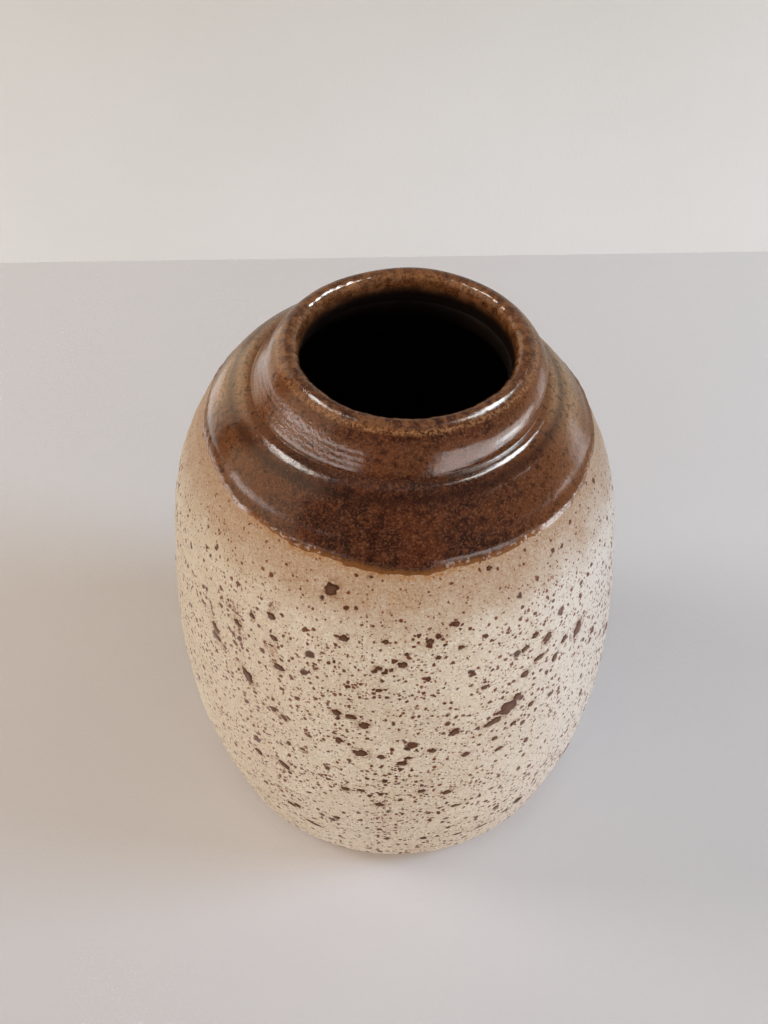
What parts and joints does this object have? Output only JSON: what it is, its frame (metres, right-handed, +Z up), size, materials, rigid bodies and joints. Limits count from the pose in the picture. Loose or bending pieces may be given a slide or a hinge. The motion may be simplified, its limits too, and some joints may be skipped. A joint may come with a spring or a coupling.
{
  "type": "ceramic bud vase",
  "caption": "Small free-standing stoneware vase with a rounded barrel body, a short collar neck with an open mouth, and a flat foot ring to stand on.",
  "frame": {"origin": "centre of the foot, on the surface the vase stands on", "axes": "+Z up along the turning axis, out of the mouth; -Y towards the front"},
  "size_m": [0.1, 0.1001, 0.1251],
  "materials": {
    "bare_stoneware": "matte",
    "cream_glaze": "satin",
    "brown_glaze": "gloss",
    "liner_glaze": "gloss",
    "iron_spots": "satin"
  },
  "bodies": {
    "root": {"stoneware_body": "bare_stoneware", "cream_glaze": "cream_glaze", "brown_glaze": "brown_glaze", "liner_glaze": "liner_glaze", "iron_spots": "iron_spots"}
  },
  "joints": []
}
